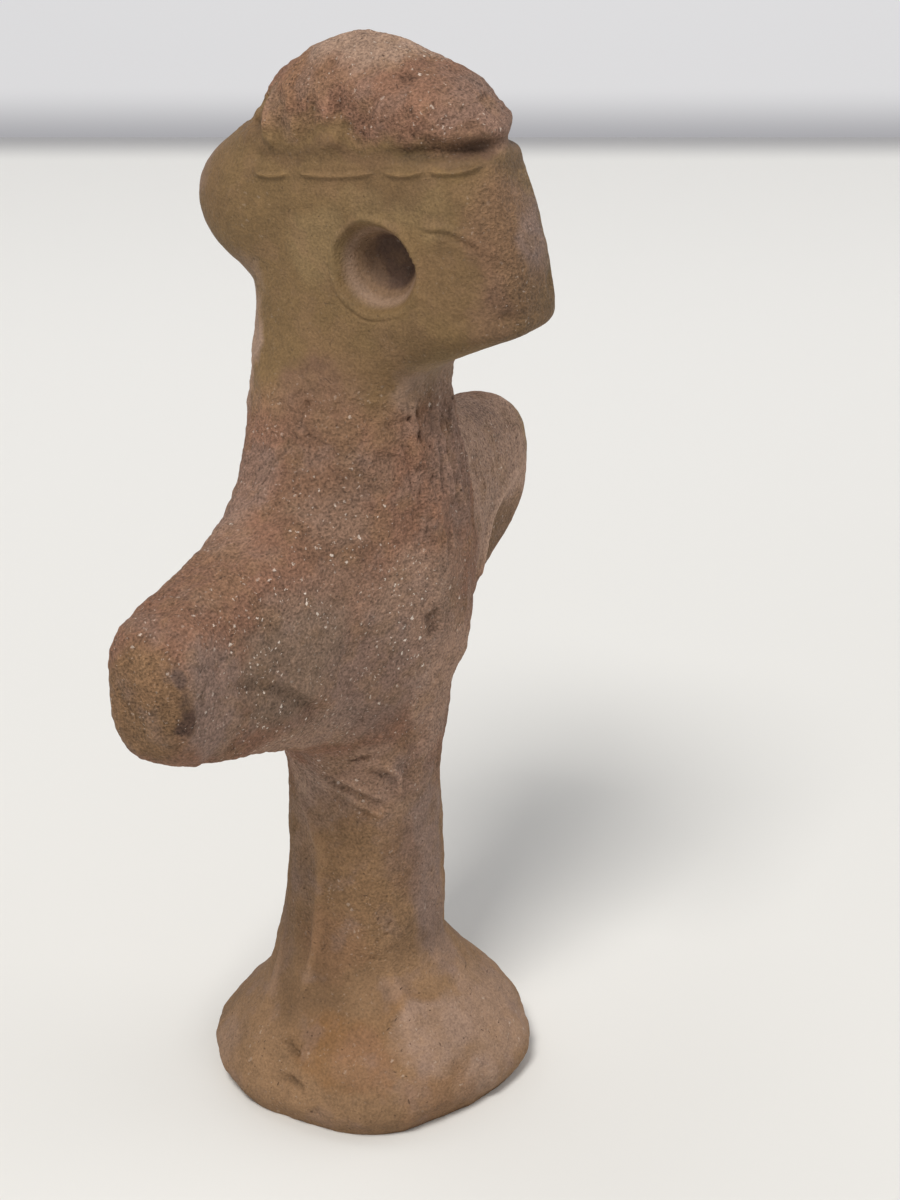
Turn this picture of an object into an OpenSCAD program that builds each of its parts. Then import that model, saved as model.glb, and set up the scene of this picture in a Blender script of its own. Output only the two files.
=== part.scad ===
// Hand-modelled clay figure: a bell foot and round stem, a torso with two stub arms,
// a thin pinched head with a beak, a domed cap and a lobe of hair behind.
// Each lump of clay is its own solid, keyed to the next by a round tang in a socket.
// Millimetres. The origin is at the middle of the resting face, +Z is up,
// the figure looks along -Y and its right arm points along -X.

/* [Foot and stem] */
// Height of the bell foot, up to the joint with the stem
foot_height = 22; // [20:0.5:24]
// Radius of the foot's rim, at its widest
foot_radius = 22.2; // [21:0.2:24]
// Radius of the stem, halfway up
stem_radius = 10.4; // [9.6:0.2:11]
// Height of the joint between stem and torso
waist_height = 52; // [50:0.5:54]

/* [Torso and arms] */
// Height of the joint between torso and head
neck_height = 100; // [99:0.5:101]
// Distance from the middle to each shoulder joint
shoulder_x = 13; // [12:0.5:13.5]
// Reach of the right arm, from the middle to its blunt end
right_reach = 47; // [44:0.5:50]
// Reach of the left arm, from the middle to its rounded end
left_reach = 45; // [42:0.5:50]

/* [Head] */
// Reach of the beak in front of the stem's middle line
beak_reach = 27.5; // [26:0.5:29]
// Half of the head's thickness at the cheeks
cheek_half = 8.8; // [8.4:0.2:9.6]
// Width of each eye bowl across its rim
eye_width = 10.6; // [9:0.2:12]
// Depth of each eye bowl
eye_depth = 4.4; // [3:0.2:5]
// Height of the groove below the cap, over the eye
groove_height = 134.5; // [133:0.5:136]
// Overall height of the figure
total_height = 150; // [148:0.5:152]

/* [Tangs] */
// Radius of the tangs on the stem and neck
core_tang_radius = 6; // [5:0.5:7]
// Radius of the tangs on the arms, cap and hair
small_tang_radius = 4; // [3:0.5:5]

/* [Hidden] */

sides = 48;
steps = 3;
round_fn = 96;

foot_tang = 12;
waist_tang = 9;
neck_tang = 10;
arm_tang = 6;
cap_tang = 6;
hair_tang = 5;

// The groove rises towards the brow by this much for each millimetre forwards
groove_rise = 0.14;
// The y at which the heights of the sloping sections are measured
eye_y = -9;
eye_z = 123.5;
slope_y = -4;
// The lobe of hair sits on a flat at this y, on the head and the cap
back_flat = 14;
shoulder_z = 76;
hair_z = 126;

// A section wider than this limit has no flat there
no_flat = 60;
// How far a socket's cutter runs past the joint face
break_through = 1;

// Foot outline: [radius, height]
foot_stations = [
    [foot_radius - 1.7, 0],
    [foot_radius - 0.5, 1],
    [foot_radius, 3],
    [foot_radius - 2, 8],
    [foot_radius - 6.8, 14],
    [stem_radius + 1.6, 19],
    [stem_radius + 0.5, foot_height],
];

// Stem outline: [radius, height]
stem_stations = [
    [stem_radius + 0.5, foot_height],
    [stem_radius + 0.1, 28],
    [stem_radius, 38],
    [stem_radius, 46],
    [stem_radius + 0.2, waist_height],
];

// Upright sections: [height, front y, back y, half width, roundness, slope]
torso_stations = [
    [waist_height, -stem_radius - 0.2, stem_radius + 0.2, stem_radius + 0.2, 2, 0],
    [56, -10.7, 10.7, 12.5, 2.3, 0],
    [60, -10.8, 10.8, 14.5, 2.8, 0],
    [66, -11.5, 11, 16, 3, 0],
    [74, -12.6, 11.6, 16.5, 3, 0],
    [84, -12.3, 12.4, 16, 3, 0],
    [92, -11.8, 12.6, 14, 2.8, 0],
    [neck_height, -11.2, 13, 10.8, 2.5, 0],
];

head_stations = [
    [neck_height, -11.2, 13, 10.8, 2.5, 0],
    [104, -11.2, 13.2, 10, 2.6, 0],
    [109, -13.6, 13.4, 9.4, 2.8, 0],
    [113, -beak_reach + 6.6, 13.6, cheek_half + 0.2, 3, 0],
    [116, -beak_reach + 0.9, 14.2, cheek_half + 0.1, 3, 0.02],
    [120, -beak_reach, 15, cheek_half, 3, 0.05],
    [127, -beak_reach + 2, 15.2, cheek_half, 3, 0.1],
    [groove_height - 1.5, -beak_reach + 4.6, 15.2, cheek_half, 3, groove_rise],
    [groove_height, -beak_reach + 5.6, 15.2, cheek_half - 0.5, 3, groove_rise],
];

cap_stations = [
    [groove_height, -beak_reach + 5.6, 15.2, cheek_half - 0.5, 3, groove_rise],
    [groove_height + 1, -beak_reach + 5, 15.2, cheek_half + 0.3, 3, groove_rise],
    [138, -21.5, 14.2, cheek_half + 0.2, 2.8, groove_rise],
    [141.5, -19.4, 12.4, 8.6, 2.5, groove_rise],
    [145, -15, 9.8, 7.5, 2.4, groove_rise],
    [148, -10.2, 6.4, 5, 2.3, 0.1],
    [149.5, -6.6, 2, 2.6, 2.1, 0.04],
    [total_height, -4.4, -1, 1, 2, 0],
];

// Arm sections: [distance out, low z, high z, front y, back y, roundness]
right_arm_stations = [
    [shoulder_x, 59, 94, -9.6, 10.4, 2.4],
    [22, 60.8, 91, -8, 11, 2.5],
    [34, 64.5, 88.4, -5.2, 10.4, 2.6],
    [right_reach - 6, 66.6, 86.8, -4.2, 9.6, 2.7],
    [right_reach - 2, 68.2, 85, -3.2, 8.8, 2.6],
    [right_reach - 0.4, 70.4, 83, -1.6, 7.2, 2.4],
    [right_reach, 72.4, 81, 0, 5.4, 2.2],
];

left_arm_stations = [
    [shoulder_x, 59, 94, -9.4, 10.4, 2.4],
    [22, 61.5, 92.4, -7, 11, 2.4],
    [32, 66.5, 91.2, -4.4, 10.4, 2.4],
    [left_reach - 5, 70.8, 90, -3.2, 9.4, 2.3],
    [left_reach - 1.6, 73.6, 87.6, -1.2, 7.4, 2.1],
    [left_reach, 77, 84, 1.4, 4.8, 2],
];

// Lobe sections: [y, low z, high z, half width]
hair_stations = [
    [back_flat, 118.3, 136.1, 7.6],
    [16.4, 118.9, 135.4, 7.2],
    [19.4, 120.8, 133.6, 6],
    [21.8, 123.4, 131, 4],
    [22.8, 126, 128.4, 1.6],
];

// A curve that passes through every station, taken between station i and the next
function near(list, i) = list[max(0, min(len(list) - 1, i))];

function between(list, i, t) =
    let (a = near(list, i - 1), b = near(list, i), c = near(list, i + 1), d = near(list, i + 2))
    b + 0.5 * t * ((c - a) + t * ((2 * a - 5 * b + 4 * c - d) + t * (3 * b - a - 3 * c + d)));

function smoothed(list) = concat(
    [for (i = [0:len(list) - 2]) for (j = [0:steps - 1]) between(list, i, j / steps)],
    [list[len(list) - 1]]
);

// Rounded-box curve: one coordinate at angle a, from -1 to 1
function bend(value, roundness) = sign(value) * pow(abs(value), 2 / roundness);

// One level section of the torso, head or cap, flat at the shoulders and behind
function upright_ring(s, flat_x, flat_y) =
    let (middle = (s[1] + s[2]) / 2, half = (s[2] - s[1]) / 2)
    [for (k = [0:sides - 1])
        let (
            a = 360 * k / sides,
            x = max(-flat_x, min(flat_x, s[3] * bend(cos(a), s[4]))),
            y = min(flat_y, middle + half * bend(sin(a), s[4]))
        )
        [x, y, s[0] - s[5] * (y - slope_y)]];

// One section of an arm, in the plane at its distance out
function arm_ring(s) =
    [for (k = [0:sides - 1])
        let (a = 360 * k / sides)
        [s[0],
         (s[3] + s[4]) / 2 + (s[4] - s[3]) / 2 * bend(cos(a), s[5]),
         (s[1] + s[2]) / 2 + (s[2] - s[1]) / 2 * bend(sin(a), s[5])]];

// One section of the lobe of hair, in the plane at its y
function hair_ring(s) =
    [for (k = [0:sides - 1])
        let (a = 360 * k / sides)
        [s[3] * sin(a), s[0], (s[1] + s[2]) / 2 + (s[2] - s[1]) / 2 * cos(a)]];

// A closed skin over a list of rings, with a flat face at each end
module skin(rings) {
    last = len(rings) - 1;
    n = len(rings[0]);
    walls = [for (i = [0:last - 1]) for (k = [0:n - 1])
        let (a = i * n + k, b = i * n + (k + 1) % n)
        each [[a, a + n, b + n], [a, b + n, b]]];
    ends = [
        [for (k = [0:n - 1]) k],
        [for (k = [n - 1:-1:0]) last * n + k],
    ];
    polyhedron([for (ring = rings) each ring], concat(walls, ends), convexity = 4);
}

module upright_skin(stations, flat_x, flat_y) {
    skin([for (s = smoothed(stations)) upright_ring(s, flat_x, flat_y)]);
}

// A round solid from an outline of [radius, height] stations
module turned(stations) {
    outline = smoothed(stations);
    foot_z = stations[0][1];
    top_z = stations[len(stations) - 1][1];
    rotate_extrude($fn = round_fn) polygon(concat([[0, foot_z]], outline, [[0, top_z]]));
}

// A tang from z = -root to z = length. A socket is cut with a root, to break the joint face
module tang(radius, length, root = 0) {
    translate([0, 0, -root]) cylinder(r = radius, h = length + root, $fn = round_fn);
}

// The tang of the left arm, which points inwards from the shoulder joint
module arm_key(root = 0) {
    translate([shoulder_x, 0, shoulder_z])
        rotate([0, -90, 0]) tang(core_tang_radius, arm_tang, root);
}

// The tang of the cap, square to the sloping groove
module cap_key(root = 0) {
    translate([0, slope_y, groove_height])
        rotate([-atan(groove_rise), 0, 0]) tang(small_tang_radius, cap_tang, root);
}

// The tang of the lobe of hair, which points forwards into the head
module hair_key(root = 0) {
    translate([0, back_flat, hair_z])
        rotate([90, 0, 0]) tang(small_tang_radius, hair_tang, root);
}

// The tangs of the stem, downwards into the foot and upwards into the torso, and of the neck
module foot_key(root = 0) {
    translate([0, 0, foot_height]) mirror([0, 0, 1]) tang(core_tang_radius, foot_tang, root);
}

module waist_key(root = 0) {
    translate([0, 0, waist_height]) tang(core_tang_radius, waist_tang, root);
}

module neck_key(root = 0) {
    translate([0, 0, neck_height]) tang(core_tang_radius, neck_tang, root);
}

// The two bowls pressed into the cheeks, as parts of a sphere
module eye_bowls() {
    half = eye_width / 2;
    radius = (half * half + eye_depth * eye_depth) / (2 * eye_depth);
    for (side = [-1, 1])
        translate([side * (cheek_half - eye_depth + radius), eye_y, eye_z])
            sphere(r = radius, $fn = round_fn);
}

module foot() {
    color("peru") difference() {
        turned(foot_stations);
        foot_key(break_through);
    }
}

module stem() {
    color("sienna") union() {
        turned(stem_stations);
        foot_key();
        waist_key();
    }
}

module torso() {
    color("rosybrown") difference() {
        union() {
            upright_skin(torso_stations, shoulder_x, no_flat);
            neck_key();
        }
        waist_key(break_through);
        arm_key(break_through);
        mirror([1, 0, 0]) arm_key(break_through);
    }
}

module right_arm() {
    color("burlywood") mirror([1, 0, 0]) union() {
        skin([for (s = smoothed(right_arm_stations)) arm_ring(s)]);
        arm_key();
    }
}

module left_arm() {
    color("tan") union() {
        skin([for (s = smoothed(left_arm_stations)) arm_ring(s)]);
        arm_key();
    }
}

module head() {
    color("darkkhaki") difference() {
        union() {
            upright_skin(head_stations, no_flat, back_flat);
            cap_key();
        }
        neck_key(break_through);
        hair_key(break_through);
        eye_bowls();
    }
}

module cap() {
    color("indianred") difference() {
        upright_skin(cap_stations, no_flat, back_flat);
        cap_key(break_through);
    }
}

module hair_knot() {
    color("saddlebrown") union() {
        skin([for (s = smoothed(hair_stations)) hair_ring(s)]);
        hair_key();
    }
}

foot();
stem();
torso();
right_arm();
left_arm();
head();
cap();
hair_knot();
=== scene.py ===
"""A hand-modelled figure of sandy fired clay, on a pale table under soft light.

The clay is one shape, clay(p) = 0: the signed distance to a lofted column, two arms and a
lobe of hair that run softly into each other, less the heights of a relief of swells, pits,
scratches and grain, and of the bowls of the eyes. Each piece is a grid of rays that leave a
line inside it and stop on that shape, so neighbours share their edges.
Lengths are millimetres until a mesh is made, and metres in the mesh.
"""

import math

import bmesh
import bpy
import numpy as np
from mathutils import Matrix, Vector


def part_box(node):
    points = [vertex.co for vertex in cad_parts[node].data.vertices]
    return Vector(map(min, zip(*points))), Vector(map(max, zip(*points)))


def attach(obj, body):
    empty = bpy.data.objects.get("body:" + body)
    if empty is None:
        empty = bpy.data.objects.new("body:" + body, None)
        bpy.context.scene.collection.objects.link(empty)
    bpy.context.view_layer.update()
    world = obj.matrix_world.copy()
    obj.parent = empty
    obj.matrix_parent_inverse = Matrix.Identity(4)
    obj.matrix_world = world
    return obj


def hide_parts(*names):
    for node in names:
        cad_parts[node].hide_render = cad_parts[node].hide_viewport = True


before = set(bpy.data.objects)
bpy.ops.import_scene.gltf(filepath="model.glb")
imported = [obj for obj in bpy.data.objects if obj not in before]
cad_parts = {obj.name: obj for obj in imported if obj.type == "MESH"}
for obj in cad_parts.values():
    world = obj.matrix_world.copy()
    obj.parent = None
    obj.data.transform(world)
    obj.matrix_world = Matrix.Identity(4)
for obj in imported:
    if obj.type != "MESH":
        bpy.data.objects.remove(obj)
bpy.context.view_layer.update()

MM = 0.001
DETAIL = 1.0

# Rays in a ring of the column, of an arm and of the hair
COLUMN_RAYS = 400
ARM_RAYS = 340
HAIR_RAYS = 240
# Rings that close an end of an arm, the crown and the back of the hair, as their rays swing
ARM_TURNS = 66
CAP_TURNS = 150
HAIR_TURNS = 70
# How far short of the axis the last of those rings stops, in radians
POLE_GAP = 2e-3
HAIR_POLE_GAP = 4e-3
# Rings that close a flat end
END_RINGS = 6

# The way the camera looks from, in degrees, which the stage is turned to
VIEW_AZIMUTH = -60


# ---------------------------------------------------------------- sizes from the frame


def low(node, axis):
    """The lowest coordinate of a CAD node along an axis, in millimetres."""
    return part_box(node)[0]["xyz".index(axis)] / MM


def high(node, axis):
    """The highest coordinate of a CAD node along an axis, in millimetres."""
    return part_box(node)[1]["xyz".index(axis)] / MM


FOOT_TOP = high("foot", "z")
WAIST = low("torso", "z")
NECK = low("head", "z")
TOP = high("cap", "z")
SHOULDER = high("torso", "x")
RIGHT_REACH = -low("right_arm", "x")
LEFT_REACH = high("left_arm", "x")
HAIR_FACE = high("head", "y")

# The groove below the cap lies in a plane that rises towards the brow
GROOVE_Z = 134.5
GROOVE_RISE = 0.14
GROOVE_Y = -4.0

# The bowl of each eye: its middle, its half sizes along y and z, and its depth
EYE_Y = -8.1
EYE_Z = 122.9
EYE_HALF_Y = 5.95
EYE_HALF_Z = 5.85
EYE_DEPTH = 4.6


# ---------------------------------------------------------------- curves and noise


def along(stations, s):
    """The columns of a station list at s: cubic curves through the stations, whose slope at
    each station is the one that its two neighbours give."""
    table = np.array(stations, float)
    at, rows = table[:, 0], table[:, 1:]
    slope = np.gradient(rows, at, axis=0)
    i = np.clip(np.searchsorted(at, s) - 1, 0, len(at) - 2)
    step = at[i + 1] - at[i]
    t = np.clip((s - at[i]) / step, 0, 1)[:, None]
    a, b = rows[i], rows[i + 1]
    ma, mb = slope[i] * step[:, None], slope[i + 1] * step[:, None]
    curve = a + t * (ma + t * (3 * (b - a) - 2 * ma - mb + t * (2 * (a - b) + ma + mb)))
    return curve.T


def ramp(x, start, end):
    """0 before start, 1 after end, with a soft S between them."""
    t = np.clip((x - start) / (end - start), 0, 1)
    return t * t * (3 - 2 * t)


def soft_min(a, b, k):
    """The smaller of two distances, run together over a width k."""
    h = np.clip(0.5 + 0.5 * (b - a) / k, 0, 1)
    return b + (a - b) * h - k * h * (1 - h)


# Random values from -1 to 1 at the knots of a cube that repeats
KNOTS = 32
LATTICE = np.random.default_rng(11).uniform(-1, 1, (KNOTS, KNOTS, KNOTS))


def noise(p, size, shift=0.0):
    """Smooth random values from -1 to 1 with a knot every `size` millimetres: a cubic lattice
    of random values, blended by softened fractions."""
    q = p / size + shift
    cell = np.floor(q).astype(int)
    f = q - cell
    f = f * f * (3 - 2 * f)
    x, y, z = (cell % KNOTS).T
    u, v, w = ((cell + 1) % KNOTS).T
    fx, fy, fz = f.T
    near = LATTICE[x, y, z] * (1 - fx) + LATTICE[u, y, z] * fx
    near_y = LATTICE[x, v, z] * (1 - fx) + LATTICE[u, v, z] * fx
    far = LATTICE[x, y, w] * (1 - fx) + LATTICE[u, y, w] * fx
    far_y = LATTICE[x, v, w] * (1 - fx) + LATTICE[u, v, w] * fx
    return (near * (1 - fy) + near_y * fy) * (1 - fz) + (far * (1 - fy) + far_y * fy) * fz


# A rotation that keeps the lattice's axes off the figure's own
TURN = np.array([[0.36, 0.48, -0.8], [-0.8, 0.6, 0.0], [0.48, 0.64, 0.6]])


def lumps(p, size, octaves):
    """Noise summed over octaves, each half the size and half the height, on turned axes."""
    total = 0
    for i in range(octaves):
        total = total + noise(p @ TURN, size / 2**i, 3.7 * i) / 2**i
    return total


# ---------------------------------------------------------------- the smooth body

# Column sections: [height, front y, back y, half width, roundness]
COLUMN = [
    [0.0, -21.8, 19.6, 20.3, 2.2],
    [3.0, -23.4, 21.6, 21.8, 2.2],
    [8.0, -21.4, 18.8, 20.2, 2.2],
    [14.0, -15.6, 13.8, 15.4, 2.2],
    [20.0, -11.0, 12.2, 12.0, 2.2],
    [26.0, -10.9, 11.2, 11.0, 2.3],
    [38.0, -10.5, 10.2, 10.6, 2.3],
    [50.0, -10.4, 10.3, 10.6, 2.3],
    [58.0, -11.0, 10.9, 11.5, 2.3],
    [66.0, -12.7, 11.0, 13.0, 2.3],
    [71.0, -13.4, 11.5, 13.0, 2.3],
    [80.0, -12.5, 12.0, 13.0, 2.3],
    [90.0, -12.0, 12.5, 12.0, 2.4],
    [98.0, -11.3, 12.8, 11.0, 2.5],
    [104.0, -11.0, 13.2, 10.0, 2.6],
    [109.0, -13.4, 13.4, 9.5, 2.8],
    [113.0, -20.6, 13.3, 9.0, 3.0],
    [116.0, -26.3, 13.3, 8.9, 3.2],
    [118.5, -26.8, 13.3, 8.8, 3.3],
    [122.0, -26.4, 13.3, 8.8, 3.3],
    [128.0, -25.0, 13.3, 8.8, 3.3],
    [134.0, -23.4, 13.3, 8.8, 3.2],
    [138.0, -22.4, 13.2, 8.8, 2.8],
    [142.0, -20.8, 11.0, 8.6, 2.5],
    [146.0, -15.5, 7.5, 6.9, 2.3],
    [149.0, -7.7, 2.5, 3.4, 2.3],
    [TOP, -4.6, -0.4, 1.2, 2.0],
]

# Arm sections: [distance out, low z, high z, front y, back y], given past the arms' ends
RIGHT_ARM = [
    [0, 46, 98, -11, 11],
    [12, 55, 97, -10, 11.5],
    [22, 59.7, 92, -8, 11.5],
    [34, 63.9, 87.7, -5, 10.5],
    [44, 66.4, 86.2, -4, 9.5],
    [60, 67.6, 84.4, -4, 9.5],
]
LEFT_ARM = [
    [0, 47, 98, -11, 11],
    [12, 55.4, 96, -9.5, 11.5],
    [22, 61, 92.5, -7, 11.5],
    [34, 66, 91.6, -4.8, 10.5],
    [44, 70.2, 90, -3.8, 9.5],
    [60, 71.2, 89.6, -3.8, 9.5],
]
# How far back from its reach an arm starts to close, and the roundness of its sections
RIGHT_END = (7.0, 2.8)
LEFT_END = (8.5, 2.5)

# The lobe of hair, an ellipsoid: its centre and its radii
HAIR_CENTRE = np.array([0.0, 13.0, 127.2])
HAIR_RADII = np.array([7.5, 9.9, 8.8])


def column(p):
    """Signed distance to the upright loft: at each height a superellipse with a front and a
    back of its own, and a flat end at the top."""
    x, y, z = p.T
    front, back, half, roundness = along(COLUMN, z)
    middle, depth = (front + back) / 2, (back - front) / 2
    r = (np.abs(x / half) ** roundness + np.abs((y - middle) / depth) ** roundness) ** (
        1 / roundness
    )
    return np.maximum((r - 1) * np.minimum(half, depth), z - TOP)


def arm(p, stations, side, reach, end):
    """Signed distance to an arm: superellipses across it, closed by the same curve along it
    over its last few millimetres."""
    x, y, z = p.T
    closing, n = end
    out = x * side
    low_z, high_z, front, back = along(stations, np.clip(out, 0, 60))
    tall, deep = (high_z - low_z) / 2, (back - front) / 2
    past = np.maximum(out - (reach - closing), 0) / closing
    r = (
        np.abs((z - (low_z + high_z) / 2) / tall) ** n
        + np.abs((y - (front + back) / 2) / deep) ** n
        + past**n
    ) ** (1 / n)
    return np.maximum((r - 1) * np.minimum(tall, deep), -out)


def body(p):
    """Signed distance to the smooth figure: the arms run into the column with a wide
    shoulder and a tight armpit, and the hair with a fillet that widens above it."""
    fillet = 4.5 + 4.5 * ramp(p[:, 2], 62, 82)
    d = column(p)
    d = soft_min(d, arm(p, RIGHT_ARM, -1, RIGHT_REACH, RIGHT_END), fillet)
    d = soft_min(d, arm(p, LEFT_ARM, 1, LEFT_REACH, LEFT_END), fillet)
    q = (p - HAIR_CENTRE) / HAIR_RADII
    hair = (np.sqrt((q**2).sum(1)) - 1) * HAIR_RADII.min()
    return soft_min(d, hair, 3.2 + 0.8 * ramp(p[:, 2], 128, 135))


# ---------------------------------------------------------------- relief of the surface

# Broad swells, and hollows where the height is below 0: [centre, size along x, y, z, height]
SWELLS = [
    # the lumps of the cap, with one over the brow, and the front of the beak
    [(-3, -20, 140), (6, 3.5, 2.2), 0.5],
    [(5, -18, 141.5), (4, 4, 3), -0.2],
    [(-3, 6, 147), (6, 4, 3), -0.25],
    [(-6.2, -8, 143.5), (3, 4, 2.4), 0.45],
    [(6.4, -3, 143), (3, 5, 2.4), 0.5],
    [(0, 9, 143.5), (5, 3, 2.5), 0.4],
    [(-0.5, -26.6, 128), (3.5, 2, 4), 0.35],
    # the belly, the arms and the back, with the hollows that a thumb left under both arms
    [(7, -13.6, 67), (5.5, 3.5, 4.6), 0.7],
    [(9, -12, 60.5), (5, 4, 3), -0.6],
    [(30, -5.2, 73), (6, 3.5, 4.6), -1.6],
    [(24, -6.5, 68), (9, 4.5, 5), -0.6],
    [(34, -4.8, 84), (8, 4, 4), 0.5],
    [(-27, -7.5, 64), (12, 4, 5), -0.7],
    [(-24, 10.5, 78), (11, 4, 8), -0.9],
    [(22, 11, 80), (10, 4, 8), -1.0],
    [(0, 12.5, 84), (5, 3, 12), 0.6],
    # the foot's rim: knocks that leave it a little square
    [(-8, -22.5, 2), (8, 6, 7), -1.1],
    [(-12, -19.5, 0), (5, 4, 3), -0.9],
    [(-20.5, 6, 2), (3, 7, 4), 0.7],
    [(-20, -9, 1), (4, 5, 4), 0.3],
    [(6, -22.5, 1.5), (6, 3, 4), 0.4],
    [(15, -15, 1), (5, 5, 4), -0.7],
    [(20, 6, 1), (4, 6, 4), -0.5],
    [(2, 21, 1), (8, 4, 4), -0.6],
]

# Small bumps and pits, given in the same way
DABS = [
    # the pits of the cap
    [(-5.3, -11.1, 146.9), (0.9, 1.1, 1.2), -1.3],
    [(-3.6, -0.7, 149), (0.6, 0.6, 0.8), -0.6],
    [(-5.7, -0.7, 147.3), (0.5, 0.6, 0.7), -0.6],
    [(-5.6, -19.9, 141.8), (0.7, 0.6, 0.6), -0.8],
    [(-5, -18.6, 143.6), (0.7, 0.6, 0.6), -0.7],
    [(-8.3, -3, 142.7), (0.8, 0.6, 0.7), -0.6],
    [(4.6, -8, 147), (0.8, 1.0, 1.2), -0.9],
    [(6.9, 4, 142.5), (1.0, 0.8, 0.8), -0.7],
    [(1.5, 7.5, 145), (0.9, 1, 1), -0.7],
    # pits along the beak
    [(-6, -24.6, 124.7), (0.7, 0.9, 0.8), -0.5],
    [(-5.9, -25.4, 118.5), (0.8, 0.9, 0.7), -0.45],
    [(-8.5, -20.2, 118.2), (0.7, 0.7, 0.6), -0.4],
    [(3.2, -27, 121), (0.8, 1, 1.2), -0.45],
    [(6.4, -24.5, 127.5), (0.9, 0.9, 0.8), -0.4],
    # pits of the chest and the neck, and the dents of the right arm's end
    [(-9.6, -9.4, 98.3), (0.8, 0.7, 1.0), -0.9],
    [(-8.4, -10.4, 98), (0.7, 0.7, 0.6), -0.7],
    [(-5.2, -13, 95.9), (0.6, 0.7, 0.9), -0.8],
    [(-12.5, -0.7, 100.6), (0.5, 0.5, 0.6), -0.5],
    [(-10.9, 0.7, 104.3), (0.5, 0.4, 0.6), -0.5],
    [(-6.4, -13.6, 86), (0.6, 0.6, 0.7), -0.8],
    [(7, -11, 93), (0.8, 0.7, 1.1), -0.8],
    [(-47.3, 4.7, 75.8), (0.7, 0.9, 0.9), -0.7],
    [(-40.1, 5.9, 87.3), (0.8, 0.8, 0.7), 0.5],
    [(-46, -3.2, 80.5), (0.8, 1.2, 1.6), -0.35],
    [(-45.2, -3.6, 76), (0.8, 1.0, 2.4), -0.4],
    # pits of the foot and stem
    [(-11.9, -12.3, 13), (0.7, 0.9, 0.6), -0.6],
    [(-11.8, -4.2, 19.3), (0.7, 0.6, 0.6), -0.5],
    [(-7.5, -8.6, 27.9), (0.4, 0.4, 0.4), -0.5],
    [(-8.1, -8.4, 26.3), (0.4, 0.4, 0.35), -0.5],
    [(-8.9, -7.6, 25.5), (0.35, 0.35, 0.3), -0.4],
    [(-9.4, -7, 22.5), (0.7, 0.5, 0.3), -0.4],
    [(-21.7, -4.8, 3.4), (0.6, 0.6, 0.6), -0.6],
    [(-20.8, 0.4, 6.6), (0.9, 1.1, 0.5), -0.8],
    [(-21.1, -1.8, 6.4), (0.5, 0.5, 0.4), -0.5],
    [(13.5, -8.5, 12), (0.8, 0.8, 0.6), -0.6],
    [(6, 14, 12), (0.7, 0.7, 0.7), -0.6],
]

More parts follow.
